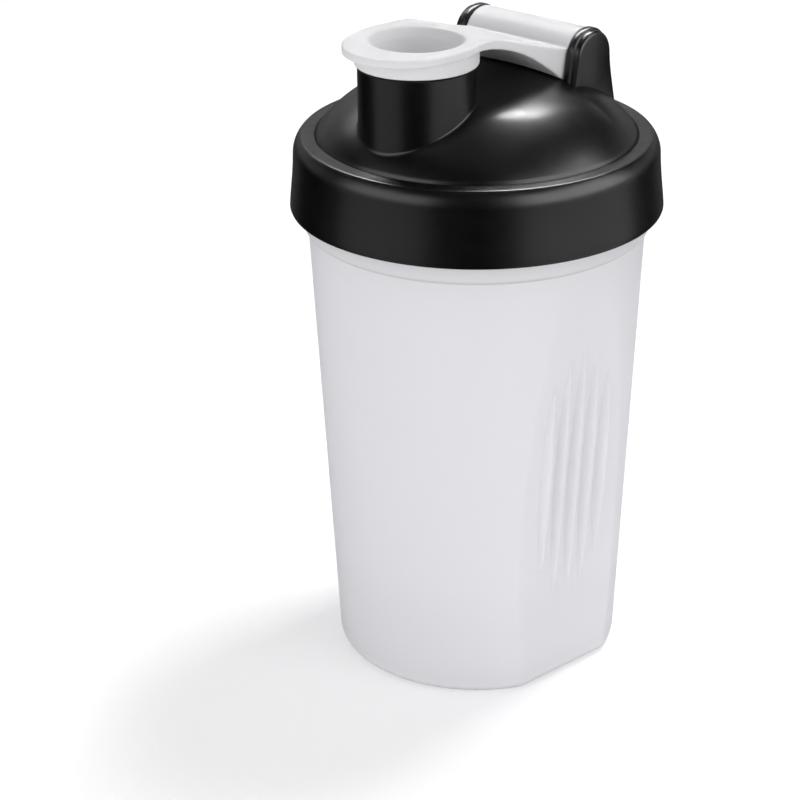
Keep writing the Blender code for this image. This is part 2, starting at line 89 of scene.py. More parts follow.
# Lid.
SKIRT_R = 43.2
BAND_R = 46.0
BAND_Z = 120.0
CREST_Z = 139.6
CREASE_Z = 138.6
CREASE_R = 39.0
LAND_Z = 136.9
DOME_SEMI_R = 43.0
DOME_SEMI_H = 28.0
DOME_WALL = 2.0
DOME_EDGE = 5.0
DOME_BLEND = 1.2
SHOULDER_R = 6.0
SHOULDER_OUT = 38.9
SHEET_H = 14.4
SHEET_ARCH = 0.0035
SHEET_BACK_ARCH = 0.005
SHEET_BEND_Y = -5.0
SHEET_FALL = 0.05
SPOUT_Y = -22.1
SPOUT_R = 14.0
SPOUT_Z = 160.2
SPOUT_NECK_R = 12.7
SPOUT_RIM_Z = 163.2
SPOUT_BORE_R = 11.6
FILLET = 0.5

# Hinge and cap.
HINGE_Y = 21.4
HINGE_Z = 155.1
BARREL_R = 6.9
BARREL_HALF = 15.7
EAR_IN_X = 16.0
EAR_OUT_X = 19.5
EAR_R = 7.2
SOCKET_R = 2.9
SOCKET_END_X = 18.2
STUB_R = 2.6
STUB_REACH = 2.2
SADDLE_R = 8.9
SADDLE_REACH = SADDLE_R - 0.3
SADDLE_Z = 147.6
SADDLE_FRONT_Y = HINGE_Y - SADDLE_R
CAP_UNDER_Z = 164.3
CAP_TOP_Z = 166.3
TAB_R = 14.4
TAB_REACH = 4.5
DISC_R = 15.2
DRUM_R = 14.65
PLUG_Z = 157.4
LIP_Z = 160.5
GROOVE_Z = 163.5
ARM_AIR = 0.35
VOXEL = 0.28

# Materials.
PLASTIC_IOR = 1.49

# Stage. The camera's distance and height and the height that lights aim at are in metres.
CAMERA_LENS = 104.87
CAMERA_SHIFT = -0.096
CAMERA_PITCH = 25.16
CAMERA_TURN = 39.2
CAMERA_AWAY = 0.5418
CAMERA_UP = 0.3201
AIM_UP = 0.1
FLOOR_GLOW = 0.24
WORLD_GLOW = 0.50


# ---------------------------------------------------------------- mesh tools

def mesh_object(name, points, faces):
    shape = bmesh.new()
    made = [shape.verts.new([value * MM for value in point]) for point in points]
    for face in faces:
        shape.faces.new([made[i] for i in face])
    bmesh.ops.recalc_face_normals(shape, faces=shape.faces)
    mesh = bpy.data.meshes.new(name)
    shape.to_mesh(mesh)
    shape.free()
    made_object = bpy.data.objects.new(name, mesh)
    bpy.context.scene.collection.objects.link(made_object)
    return made_object


def skin(name, rings, loop=False):
    """A closed skin over rings of equal point counts."""
    count = len(rings[0])
    points = [point for ring in rings for point in ring]
    faces = []
    for row in range(len(rings) if loop else len(rings) - 1):
        low = row * count
        high = (row + 1) % len(rings) * count
        for i in range(count):
            j = (i + 1) % count
            faces.append((low + i, low + j, high + j, high + i))
    if not loop:
        faces.append(tuple(range(count)))
        faces.append(tuple(range(len(points) - count, len(points))))
    return mesh_object(name, points, faces)


def circle(radius, z, steps, centre=(0.0, 0.0), phase=0.0):
    ring = []
    for i in range(steps):
        angle = 2 * math.pi * (i + phase) / steps
        ring.append((centre[0] + radius * math.cos(angle),
                     centre[1] + radius * math.sin(angle), z))
    return ring


def turned(name, profile, steps=128, centre=(0.0, 0.0), loop=False, phase=0.0):
    return skin(name, [circle(r, z, steps, centre, phase) for r, z in profile], loop)


def prism_x(name, outline, low, high):
    return skin(name, [[(low, y, z) for y, z in outline], [(high, y, z) for y, z in outline]])


def prism_z(name, outline, low, high):
    return skin(name, [[(x, y, low) for x, y in outline], [(x, y, high) for x, y in outline]])


def arc(centre, radius, start, end, steps):
    points = []
    for i in range(steps + 1):
        angle = math.radians(start + (end - start) * i / steps)
        points.append((centre[0] + radius * math.cos(angle),
                       centre[1] + radius * math.sin(angle)))
    return points


def smooth_line(points, steps=6):
    """A smooth curve through the points, open at both ends."""
    ends = [points[0]] + list(points) + [points[-1]]
    line = []
    for k in range(1, len(ends) - 2):
        a, b, c, d = ends[k - 1:k + 3]
        for i in range(steps):
            t = i / steps
            line.append(tuple(
                0.5 * (2 * b[n] + (c[n] - a[n]) * t
                       + (2 * a[n] - 5 * b[n] + 4 * c[n] - d[n]) * t * t
                       + (3 * b[n] - a[n] - 3 * c[n] + d[n]) * t ** 3)
                for n in range(2)))
    line.append(tuple(points[-1]))
    return line


def inset_outline(outline, distance):
    """The closed outline moved inwards by a distance."""
    count = len(outline)
    area = 0.0
    for i in range(count):
        ahead = outline[(i + 1) % count]
        area += outline[i][0] * ahead[1] - ahead[0] * outline[i][1]
    turn = 1.0 if area > 0 else -1.0
    moved = []
    for i in range(count):
        ax, ay = outline[i - 1]
        bx, by = outline[i]
        cx, cy = outline[(i + 1) % count]
        n1 = (-(by - ay), bx - ax)
        n2 = (-(cy - by), cx - bx)
        l1 = math.hypot(*n1) or 1.0
        l2 = math.hypot(*n2) or 1.0
        nx = n1[0] / l1 + n2[0] / l2
        ny = n1[1] / l1 + n2[1] / l2
        length = math.hypot(nx, ny) or 1.0
        nx, ny = nx / length, ny / length
        reach = 1.0 / max(nx * n1[0] / l1 + ny * n1[1] / l1, 0.5)
        moved.append((bx + nx * distance * reach * turn, by + ny * distance * reach * turn))
    return moved


def apply_modifiers(piece):
    graph = bpy.context.evaluated_depsgraph_get()
    mesh = bpy.data.meshes.new_from_object(piece.evaluated_get(graph))
    piece.modifiers.clear()
    piece.data = mesh


def combine(body, tool, operation):
    step = body.modifiers.new("combine", "BOOLEAN")
    step.operation = operation
    step.object = tool
    step.solver = "EXACT"
    apply_modifiers(body)
    bpy.data.objects.remove(tool)
    return body


def join(body, *others):
    shape = bmesh.new()
    shape.from_mesh(body.data)
    for other in others:
        shape.from_mesh(other.data)
    shape.to_mesh(body.data)
    shape.free()
    for other in others:
        bpy.data.objects.remove(other)


def finish_piece(piece, surface, body, node, sharp):
    """Gives a piece its surface, and its creases where faces meet at more than the sharp angle."""
    piece.data.materials.clear()
    piece.data.materials.append(surface)
    piece.data.shade_smooth()
    if sharp:
        piece.data.set_sharp_from_angle(angle=math.radians(sharp))
    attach(piece, body)
    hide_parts(node)


def soft_min(a, b, blend):
    """The smaller of two values, with a rounded change from one to the other."""
    overlap = max(blend - abs(a - b), 0.0) / blend
    return min(a, b) - overlap * overlap * blend / 4


def eased(share):
    return share * share * (3 - 2 * share)


def thread_ridge(name, root_r, crest_r, helix_z, start):
    """One start of a thread, a ridge that rises and fades at both ends."""
    segments = 60
    rings = []
    for i in range(segments + 1):
        share = i / segments
        angle = math.radians(start + THREAD_SPAN * share)
        z = helix_z + THREAD_LEAD * THREAD_SPAN / 360 * share
        fade = eased(min(1.0, 0.05 + min(share, 1 - share) * 9.0))
        depth = (crest_r - root_r) * fade
        inside = root_r - math.copysign(0.4, crest_r - root_r)
        section = ((inside, -1.0), (root_r, -0.9), (root_r + depth * 0.6, -0.62),
                   (root_r + depth * 0.93, -0.4), (root_r + depth, 0.0),
                   (root_r + depth * 0.93, 0.4), (root_r + depth * 0.6, 0.62),
                   (root_r, 0.9), (inside, 1.0))
        rings.append([(r * math.cos(angle), r * math.sin(angle), z + dz) for r, dz in section])
    return skin(name, rings)


# ---------------------------------------------------------------- materials

class Finish:
    """A Principled material with helpers for its procedural detail."""

    def __init__(self, name, colour, roughness, specular=0.5):
        self.material = bpy.data.materials.new(name)
        self.material.use_nodes = True
        self.tree = self.material.node_tree
        self.shader = self.tree.nodes["Principled BSDF"]
        self.shader.inputs["Base Color"].default_value = (*colour, 1.0)
        self.shader.inputs["Roughness"].default_value = roughness
        self.shader.inputs["IOR"].default_value = PLASTIC_IOR
        self.shader.inputs["Specular IOR Level"].default_value = specular
        self.colour = colour
        self.last_normal = None
        self.shade = None
        self.place = self.tree.nodes.new("ShaderNodeTexCoord")

    def set(self, socket, value):
        self.shader.inputs[socket].default_value = value

    def subsurface(self, weight, radius):
        """Light that spreads inside the plastic, over a radius in metres."""
        self.set("Subsurface Weight", weight)
        self.set("Subsurface Radius", (radius, radius, radius))
        self.set("Subsurface Scale", 1.0)

    def noise(self, scale, detail=3.0, stretch=(1.0, 1.0, 1.0)):
        mapping = self.tree.nodes.new("ShaderNodeMapping")
        mapping.inputs["Scale"].default_value = stretch
        self.tree.links.new(self.place.outputs["Object"], mapping.inputs["Vector"])
        pattern = self.tree.nodes.new("ShaderNodeTexNoise")
        pattern.inputs["Scale"].default_value = scale
        pattern.inputs["Detail"].default_value = detail
        self.tree.links.new(mapping.outputs["Vector"], pattern.inputs["Vector"])
        return pattern.outputs["Fac"]

    def ramp(self, source, low, high, from_low=0.3, from_high=0.7):
        node = self.tree.nodes.new("ShaderNodeMapRange")
        node.inputs["From Min"].default_value = from_low
        node.inputs["From Max"].default_value = from_high
        node.inputs["To Min"].default_value = low
        node.inputs["To Max"].default_value = high
        self.tree.links.new(source, node.inputs["Value"])
        return node.outputs["Result"]

    def vary_roughness(self, source, low, high):
        self.tree.links.new(self.ramp(source, low, high), self.shader.inputs["Roughness"])

    def vary_colour(self, source, other):
        mix = self.tree.nodes.new("ShaderNodeMix")
        mix.data_type = "RGBA"
        mix.inputs["A"].default_value = (*self.colour, 1.0)
        mix.inputs["B"].default_value = (*other, 1.0)
        self.tree.links.new(self.ramp(source, 0.0, 1.0), mix.inputs["Factor"])
        self.tree.links.new(mix.outputs["Result"], self.shader.inputs["Base Color"])

    def shade_by_height(self, stops):
        """Paints shade into the colour in bands of height: (height, share of the colour kept)."""
        apart = self.tree.nodes.new("ShaderNodeSeparateXYZ")
        self.tree.links.new(self.place.outputs["Object"], apart.inputs["Vector"])
        low, high = stops[0][0], stops[-1][0]
        place = self.ramp(apart.outputs["Z"], 0.0, 1.0, low * MM, high * MM)
        bands = self.tree.nodes.new("ShaderNodeValToRGB")
        elements = bands.color_ramp.elements
        while len(elements) < len(stops):
            elements.new(0.5)
        for element, (height, share) in zip(elements, stops):
            element.position = (height - low) / (high - low)
            element.color = (share, share, share, 1.0)
        self.tree.links.new(place, bands.inputs["Fac"])
        self.shade = bands.outputs["Color"]
        base = self.shader.inputs["Base Color"]
        source = base.links[0].from_socket if base.links else None
        self.tree.links.new(self.shaded(source, self.colour), base)

    def shaded(self, source, colour):
        """The source, or the plain colour if there is none, with the bands on it."""
        mix = self.tree.nodes.new("ShaderNodeMix")
        mix.data_type = "RGBA"
        mix.blend_type = "MULTIPLY"
        mix.inputs["Factor"].default_value = 1.0
        mix.inputs["A"].default_value = (*colour, 1.0)
        if source:
            self.tree.links.new(source, mix.inputs["A"])
        self.tree.links.new(self.shade, mix.inputs["B"])
        return mix.outputs["Result"]

    def bump(self, source, distance, strength):
        """Adds relief, up to a distance in metres, on top of what is there already."""
        node = self.tree.nodes.new("ShaderNodeBump")
        node.inputs["Distance"].default_value = distance
        node.inputs["Strength"].default_value = strength
        self.tree.links.new(source, node.inputs["Height"])
        if self.last_normal:
            self.tree.links.new(self.last_normal, node.inputs["Normal"])
        self.last_normal = node.outputs["Normal"]
        self.tree.links.new(self.last_normal, self.shader.inputs["Normal"])

    def with_translucent(self, colour, share):
        """Lets a share of the light through to the other side, scattered."""
        through = self.tree.nodes.new("ShaderNodeBsdfTranslucent")
        through.inputs["Color"].default_value = (*colour, 1.0)
        if self.last_normal:
            self.tree.links.new(self.last_normal, through.inputs["Normal"])
        # The painted shade bands also darken the light let through.
        if self.shade:
            self.tree.links.new(self.shaded(None, colour), through.inputs["Color"])
        mix = self.tree.nodes.new("ShaderNodeMixShader")
        mix.inputs[0].default_value = share
        output = self.tree.nodes["Material Output"]
        self.tree.links.new(self.shader.outputs["BSDF"], mix.inputs[1])
        self.tree.links.new(through.outputs["BSDF"], mix.inputs[2])
        self.tree.links.new(mix.outputs["Shader"], output.inputs["Surface"])


def black_plastic():
    """Satin black. With roughness down at 0.27, dark specks came out of the denoiser."""
    made = Finish("black_polypropylene", (0.0012, 0.0012, 0.0016), 0.3)
    made.vary_roughness(made.noise(420.0, 4.0), 0.285, 0.35)
    made.vary_colour(made.noise(60.0, 3.0), (0.0020, 0.0020, 0.0024))
    made.bump(made.noise(900.0, 2.0), 0.00002, 0.25)
    made.bump(made.noise(95.0, 2.0), 0.00006, 0.25)
    return made.material


def white_plastic():
    made = Finish("white_polypropylene", (0.64, 0.637, 0.647), 0.42, 0.12)
    made.subsurface(0.12, 0.0022)
    made.vary_roughness(made.noise(300.0, 4.0), 0.39, 0.48)
    made.vary_colour(made.noise(70.0, 3.0), (0.625, 0.623, 0.634))
    made.bump(made.noise(1800.0, 2.0), 0.00002, 0.5)
    return made.material


def frosted_plastic():
    made = Finish("frosted_polypropylene", (0.89, 0.887, 0.905), 0.46)
    made.vary_roughness(made.noise(140.0, 4.0), 0.42, 0.52)
    made.vary_colour(made.noise(22.0, 3.0, (1.0, 1.0, 0.45)), (0.875, 0.872, 0.89))
    # Painted shade: a darker line along the bottom edge of the foot, where it meets the floor.
    foot = ((0.0, 0.82), (0.8, 0.88), (1.6, 1.0))
    # Painted shade: a slightly darker zone low on the wall, below the ribs, that fades out by 31
    # mm.
    wall = ((2.8, 1.0), (3.6, 0.985), (20.0, 0.985), (31.0, 1.0), (114.5, 1.0))
    # Painted shade: a dark line under the collar's step at 115 mm, and the collar darker towards
    # the lid's band above it.
    collar = ((114.8, 0.70), (115.1, 0.70), (115.5, 0.97), (118.6, 0.92))
    made.shade_by_height(foot + wall + collar)
    made.bump(made.noise(1500.0, 2.0), 0.00003, 0.5)
    made.bump(made.noise(30.0, 2.0, (1.0, 1.0, 0.35)), 0.0002, 0.18)
    made.with_translucent((0.93, 0.927, 0.945), 0.42)
    return made.material


def silicone():
    made = Finish("clear_silicone", (0.78, 0.78, 0.80), 0.42)
    made.subsurface(0.4, 0.0015)
    made.vary_roughness(made.noise(500.0, 3.0), 0.38, 0.5)
    made.bump(made.noise(1500.0, 2.0), 0.00003, 0.5)
    return made.material


def sieve_plastic():
    made = Finish("sieve_polypropylene", (0.82, 0.82, 0.84), 0.42)
    made.vary_roughness(made.noise(200.0, 4.0), 0.38, 0.48)
    made.vary_colour(made.noise(40.0, 3.0), (0.79, 0.79, 0.82))
    made.bump(made.noise(1400.0, 2.0), 0.00003, 0.5)
    made.with_translucent((0.86, 0.86, 0.88), 0.3)
    return made.material


# ---------------------------------------------------------------- cup

def grip_distance(z):
    """How far the grip flat lies from the axis, before the ribs."""
    return GRIP_BASE_D + (GRIP_TOP_D - GRIP_BASE_D) * (z / CUP_BODY_H) ** 2


def cup_radius(angle, z, inset):
    """The cup's outside without ribs: a cone with a grip flat on each of two sides."""
    cone = CUP_BASE_R + CUP_DRAFT * z - inset
    lean = max(abs(math.cos(angle - GRIP_TURN)), 0.2)
    return soft_min(cone, (grip_distance(z) - inset) / lean, GRIP_BLEND)


def rib_rise(across, z):
    """How far the ribs stand out of the grip at a place on it."""
    rise = 0.0
    for index in range(-RIBS_ASIDE, RIBS_ASIDE + 1):
        half = RIB_HALF - RIB_STEP_DOWN * index * index / 2
        along = (z - RIB_MIDDLE_Z) / half
        if abs(along) >= 1.0:
            continue
        swell = (1 - along * along) ** 0.75
        width = max(RIB_WIDTH / 2 * swell, 0.25)
        aside = abs(across - RIB_PITCH * index) / width
        if aside < 1.0:
            rise += RIB_HEIGHT * swell * (0.5 + 0.5 * math.cos(math.pi * aside)) ** RIB_FLANK
    return rise


def cup_columns(z, inset):
    """Angles of the columns at a height. Over the grips they run parallel to the ribs."""
    first_guess_r = 40.0
    quarter = []
    for i in range(GRIP_COLUMNS + 1):
        across = GRIP_SPAN * i / GRIP_COLUMNS
        angle = across / first_guess_r
        for _ in range(5):
            angle = math.asin(across / cup_radius(angle + GRIP_TURN, z, inset))
        quarter.append(angle)
    edge = quarter[-1]
    quarter += [edge + (math.pi / 2 - edge) * i / SIDE_COLUMNS for i in range(1, SIDE_COLUMNS)]
    half = quarter + [math.pi / 2] + [math.pi - value for value in reversed(quarter)]
    whole = half + [2 * math.pi - value for value in reversed(half[1:-1])]
    return [value + GRIP_TURN for value in whole]


def cup_ring(z, inset, ribs=False):
    """One ring of the cup, an inset inside its outer face."""
    ring = []
    for angle in cup_columns(z, inset):
        radius = cup_radius(angle, z, inset)
        if ribs:
            lean = math.cos(angle - GRIP_TURN)
            if abs(lean) > 0.8:
                across = radius * math.sin(angle - GRIP_TURN) * math.copysign(1.0, lean)
                radius += rib_rise(across, z) / abs(lean)
        ring.append((radius * math.cos(angle), radius * math.sin(angle), z))
    return ring


def make_cup(surface):
    # The recess under the foot: (height, how far it lies inside the foot's round).
    foot = ((1.2, 8.5), (1.2, 7.4), (0.9, 6.8), (0.25, 6.2), (0.0, 5.6))
    rings = [cup_ring(z, FOOT_R + inset) for z, inset in foot]
    for i in range(9):
        angle = math.pi / 2 * i / 8
        rings.append(cup_ring(FOOT_R * (1 - math.cos(angle)), FOOT_R * (1 - math.sin(angle))))
    for i in range(1, BODY_RINGS):
        z = FOOT_R + (CUP_BODY_H - 0.6 - FOOT_R) * i / BODY_RINGS
        rings.append(cup_ring(z, 0.0, ribs=True))
    # The collar steps out of the body: (out of the body's top radius, above the body).
    collar = ((-0.02, -0.45), (0.02, -0.12), (0.2, 0.0), (0.62, 0.06), (0.9, 0.3), (1.05, 0.8),
              (1.35, 2.0), (1.75, 3.2))
    profile = [(BODY_TOP_R + out, CUP_BODY_H + up) for out, up in collar]
    profile += [(COLLAR_R - 0.12, CUP_BODY_H + 4.0), (COLLAR_R, CUP_BODY_H + 4.3)]
    profile += [(COLLAR_R - 0.1, COLLAR_Z - 0.1), (COLLAR_R - 0.3, COLLAR_Z)]
    # The neck: its outside, its rim and its bore.
    profile += [(NECK_R + 0.3, COLLAR_Z), (NECK_R, COLLAR_Z + 0.3)]
    profile += [(NECK_R, RIM_Z - 0.6), (NECK_R - 0.18, RIM_Z - 0.18), (NECK_R - 0.6, RIM_Z)]
    profile += [(NECK_BORE_R + 0.5, RIM_Z), (NECK_BORE_R + 0.15, RIM_Z - 0.15)]
    profile += [(NECK_BORE_R, RIM_Z - 0.5), (NECK_BORE_R, COLLAR_Z)]
    columns = cup_columns(CUP_BODY_H, 0.0)
    for radius, z in profile:
        rings.append([(radius * math.cos(a), radius * math.sin(a), z) for a in columns])
    corner_z = CUP_FLOOR_Z + FLOOR_CORNER_R
    for i in range(INSIDE_RINGS + 1):
        z = INSIDE_TOP_Z + (corner_z - INSIDE_TOP_Z) * i / INSIDE_RINGS
        rings.append(cup_ring(z, CUP_WALL))
    for i in range(1, 8):
        angle = math.pi / 2 * i / 7
        rings.append(cup_ring(CUP_FLOOR_Z + FLOOR_CORNER_R * (1 - math.sin(angle)),
                              CUP_WALL + FLOOR_CORNER_R * (1 - math.cos(angle))))
    cup = skin("frosted_cup", rings)
    threads = [thread_ridge(f"neck_thread_{i}", NECK_R, NECK_R + NECK_THREAD_DEPTH, THREAD_Z,
                            THREAD_TURN + 120 * i) for i in range(THREAD_STARTS)]
    join(cup, *threads)
    finish_piece(cup, surface, "cup", "cup", sharp=34.0)


# ---------------------------------------------------------------- lid

def dome_side(radius):
    """Height of the dome's steep side, an ellipsoid that starts at the crease."""
    rise = math.sqrt(max(1 - (radius / DOME_SEMI_R) ** 2, 0.0))
    start = math.sqrt(1 - (CREASE_R / DOME_SEMI_R) ** 2)
    return CREASE_Z + DOME_SEMI_H * (rise - start)


def dome_sheet(x, y):
    """Height of the dome's top, a sheet that arches across and falls towards the front."""
    run = (y - SHEET_BEND_Y) / (SADDLE_FRONT_Y - SHEET_BEND_Y)
    arch = SHEET_ARCH + SHEET_BACK_ARCH * min(max(run, 0.0), 1.0) ** 2
    fall = SHEET_FALL * max(SADDLE_FRONT_Y - y, 0.0)
    return CREASE_Z + SHEET_H - arch * x * x - fall


def dome_height(x, y):
    radius = math.hypot(x, y)
    side = dome_side(radius)
    share = eased(min(max((CREASE_R - radius) / DOME_EDGE, 0.0), 1.0))
    return side + (soft_min(side, dome_sheet(x, y), DOME_BLEND) - side) * share


def band_profile():
    """The band's outside, its shoulder, a crisp edge, a flat land and the crease of the dome."""
    side = ((1.2, 0.0), (0.45, 0.0), (0.12, 0.12), (0.0, 0.45), (0.05, 1.2), (0.22, 3.0),
            (0.48, 5.4), (0.76, 8.2), (0.98, 11.0))
    points = [(BAND_R - inward, BAND_Z + up) for inward, up in side]
    points += arc((SHOULDER_OUT, CREST_Z - SHOULDER_R), SHOULDER_R, 0, 43, 12)
    points += smooth_line([(43.14, 137.84), (42.94, 138.0), (42.62, 138.1), (42.1, 138.13)], 4)
    points += [(41.2, 138.15), (40.3, 138.17)]
    points += smooth_line([(39.8, 138.18), (39.58, 138.12), (39.44, 137.96), (39.36, 137.8)], 3)
    points += [(39.18, 137.95), (CREASE_R, CREASE_Z)]
    return points


def ear_outline():
    front = HINGE_Y - EAR_R - 1.3
    back = HINGE_Y + EAR_R + 3.2
    behind = HINGE_Y + EAR_R
    outline = [(front, CREASE_Z + 6.0), (front + 0.1, HINGE_Z - 7.0),
               (front + 0.35, HINGE_Z - 4.2)]
    outline += arc((HINGE_Y, HINGE_Z), EAR_R, 172, 8, 40)
    outline += smooth_line([(behind + 0.15, HINGE_Z - 1.6), (behind + 0.6, HINGE_Z - 4.4),
                            (behind + 1.6, HINGE_Z - 9.0), (back - 0.2, CREASE_Z + 1.6)], 5)
    outline += [(back, CREASE_Z - 1.0), (front, CREASE_Z - 1.0)]
    return outline


def make_ear(name, side):
    """An ear: a rounded rim on the inside and a slightly smaller outer face."""
    outline = ear_outline()
    layers = ((0.0, 0.3), (0.08, 0.1), (0.3, 0.0), (1.5, 0.0), (1.72, 0.1), (1.82, 0.4),
              (1.92, 0.6), (2.8, 0.62), (3.1, 0.74), (3.35, 1.0), (3.5, 1.5))
    rings = []
    for out, inset in layers:
        x = side * (EAR_IN_X + out)
        rings.append([(x, y, z) for y, z in inset_outline(outline, inset)])
    return skin(name, rings)


def spout_fillet():
    """A small concave fillet where the spout stands on the dome."""
    steps = 120
    inside = SPOUT_R - 0.7
    rings = []
    for i in range(steps):
        angle = 2 * math.pi * i / steps
        c, s = math.cos(angle), math.sin(angle)

        def height_at(radius):
            x, y = radius * c, SPOUT_Y + radius * s
            return dome_height(x, y) if math.hypot(x, y) < CREASE_R else CREASE_Z

        low = height_at(SPOUT_R + FILLET)
        corner = height_at(SPOUT_R - 0.05)
        top = corner + FILLET
        profile = []
        for k in range(9):
            t = k / 8
            radius = (1 - t) ** 2 * (SPOUT_R + FILLET) + 2 * t * (1 - t) * SPOUT_R + t * t * SPOUT_R
            z = (1 - t) ** 2 * low + 2 * t * (1 - t) * corner + t * t * top
            profile.append((radius, z))
        profile += [(inside, top), (inside, corner - 0.6), (SPOUT_R + FILLET, low - 0.6)]
        rings.append([(radius * c, SPOUT_Y + radius * s, z) for radius, z in profile])
    return skin("spout_fillet", rings, loop=True)


def make_lid(surface):
    steps = 240
    rings = [circle(r, z, steps) for r, z in band_profile()]
    # Rings of the dome, as shares of the crease's radius, closer together at its edge.
    shares = [1 - 0.055 * i / 6 for i in range(1, 7)]
    shares += [0.945 - 0.937 * i / 46 for i in range(1, 47)]
    for share in shares:
        ring = [(x, y, dome_height(x, y)) for x, y, _ in circle(CREASE_R * share, 0.0, steps)]
        rings.append(ring)
    lid = skin("black_lid", rings)
    combine(lid, make_ear("ear_left", -1), "UNION")
    combine(lid, make_ear("ear_right", 1), "UNION")
    centre = (0.0, SPOUT_Y)
    spout = [(SPOUT_R, CREASE_Z - 1.0), (SPOUT_R, SPOUT_Z - 0.3), (SPOUT_R - 0.3, SPOUT_Z)]
    spout += [(SPOUT_NECK_R, SPOUT_Z), (SPOUT_NECK_R, SPOUT_RIM_Z - 0.4)]
    spout += [(SPOUT_NECK_R - 0.12, SPOUT_RIM_Z - 0.12), (SPOUT_NECK_R - 0.4, SPOUT_RIM_Z)]
    combine(lid, turned("spout", spout, 144, centre, phase=0.5), "UNION")
    low = 180 + math.degrees(math.asin((HINGE_Z - SADDLE_Z) / SADDLE_R))
    outline = arc((HINGE_Y, HINGE_Z), SADDLE_R, 180, low, 20)
    past_y, past_z = 52.0, 180.0
    outline += [(past_y, SADDLE_Z), (past_y, past_z), (SADDLE_FRONT_Y, past_z)]
    combine(lid, prism_x("saddle", outline, -EAR_IN_X, EAR_IN_X), "DIFFERENCE")
    combine(lid, lid_cavity(), "DIFFERENCE")
    bore = [(SPOUT_BORE_R, CREASE_Z + 1.0), (SPOUT_BORE_R, SPOUT_RIM_Z - 0.35),
            (SPOUT_BORE_R + 0.35, SPOUT_RIM_Z), (SPOUT_BORE_R + 0.35, SPOUT_RIM_Z + 2.0)]
    combine(lid, turned("bore", bore, 128, centre), "DIFFERENCE")
    socket = arc((HINGE_Y, HINGE_Z), SOCKET_R, 0, 352.5, 47)
    combine(lid, prism_x("sockets", socket, -SOCKET_END_X, SOCKET_END_X), "DIFFERENCE")
    threads = [thread_ridge(f"lid_thread_{i}", SKIRT_R, SKIRT_R - LID_THREAD_DEPTH,
                            THREAD_Z - LID_THREAD_DROP, THREAD_TURN + 120 * i)
               for i in range(THREAD_STARTS)]
    join(lid, spout_fillet(), *threads)
    finish_piece(lid, surface, "lid", "lid", sharp=30.0)


def lid_cavity():
    """What is cut out of the lid from below, less the step that carries the saddle."""
    profile = [(SKIRT_R + 0.4, BAND_Z - 1.0), (SKIRT_R + 0.4, BAND_Z), (SKIRT_R, BAND_Z + 0.6)]
    profile += [(SKIRT_R, LAND_Z - 2.5), (SKIRT_R - 1.5, LAND_Z), (CREASE_R - 1.8, LAND_Z)]
    for i in range(12):
        radius = CREASE_R * (0.93 - 0.33 * i / 11)
        profile.append((radius - 0.6, dome_side(radius) - DOME_WALL * 1.3))
    profile.append((CREASE_R / 2, CREASE_Z + SHEET_H - 1.5 - DOME_WALL))
    cavity = turned("cavity", profile, 128)
    front, floor, past_z = SADDLE_FRONT_Y - 2, SADDLE_Z - DOME_WALL - 0.8, 170.0
    outline = [(front, floor), (BAND_R, floor), (BAND_R, past_z), (front, past_z)]
    step = prism_x("step", outline, 1.0 - EAR_OUT_X, EAR_OUT_X - 1.0)
    return combine(cavity, step, "DIFFERENCE")


# ---------------------------------------------------------------- flip cap

def cap_side_outline():
    """Plate and arm from the side, from the tab's end to the middle of the barrel."""
    start = SPOUT_Y - 24.0
    run = HINGE_Y - SPOUT_Y
    drop = CAP_TOP_Z - HINGE_Z
    top = [(start, CAP_TOP_Z), (SPOUT_Y + run * 0.02, CAP_TOP_Z),
           (SPOUT_Y + run * 0.12, CAP_TOP_Z - 0.03),
           (SPOUT_Y + run * 0.21, CAP_TOP_Z - drop * 0.018)]
    for along, fall in ((0.29, 0.05), (0.38, 0.15), (0.51, 0.31), (0.66, 0.5)):
        top.append((SPOUT_Y + run * along, CAP_TOP_Z - drop * fall))
    top.append((HINGE_Y - BARREL_R + 0.3, HINGE_Z + 3.2))
    inner = [(HINGE_Y, HINGE_Z + 1.0), (HINGE_Y, HINGE_Z - 4.0)]
    leg = [(HINGE_Y - SADDLE_REACH + 1.6, HINGE_Z - 5.0)]
    under = [(HINGE_Y - SADDLE_REACH + 0.8, HINGE_Z - 4.6), (11.9, 152.0), (9.4, 153.95),
             (6.6, 155.95), (3.1, 158.2), (0.1, 159.85), (-3.4, 161.4), (-7.7, 162.85),
             (-12.5, 163.9), (-16.5, CAP_UNDER_Z), (-20.0, CAP_UNDER_Z)]
    return smooth_line(top, 6) + inner + leg + smooth_line(under, 6) + [(start, CAP_UNDER_Z)]


def cap_plan_outline():
    """Plate and arm from above: a tab, a disc over the spout and an arm with a slight waist."""
    lean = math.degrees(math.asin((DISC_R - TAB_R) / TAB_REACH))
    outline = arc((0.0, SPOUT_Y - TAB_REACH), TAB_R, 180 + lean, 360 - lean, 72)
    arm = smooth_line([(14.3, SPOUT_Y + 5.9), (14.05, SPOUT_Y + 8.4), (14.0, SPOUT_Y + 11.5),
                       (14.1, SPOUT_Y + 16.0), (14.6, SPOUT_Y + 23.0), (15.3, SPOUT_Y + 30.0),
                       (BARREL_HALF, SPOUT_Y + 35.0)], 5)
    outline += arc((0.0, SPOUT_Y), DISC_R, -lean + 3, 19, 12) + arm
    back = HINGE_Y + BARREL_R + 2
    outline += [(BARREL_HALF, back), (-BARREL_HALF, back)]
    outline += [(-x, y) for x, y in reversed(arm)]
    outline += arc((0.0, SPOUT_Y), DISC_R, 161, 177 + lean, 12)
    return outline


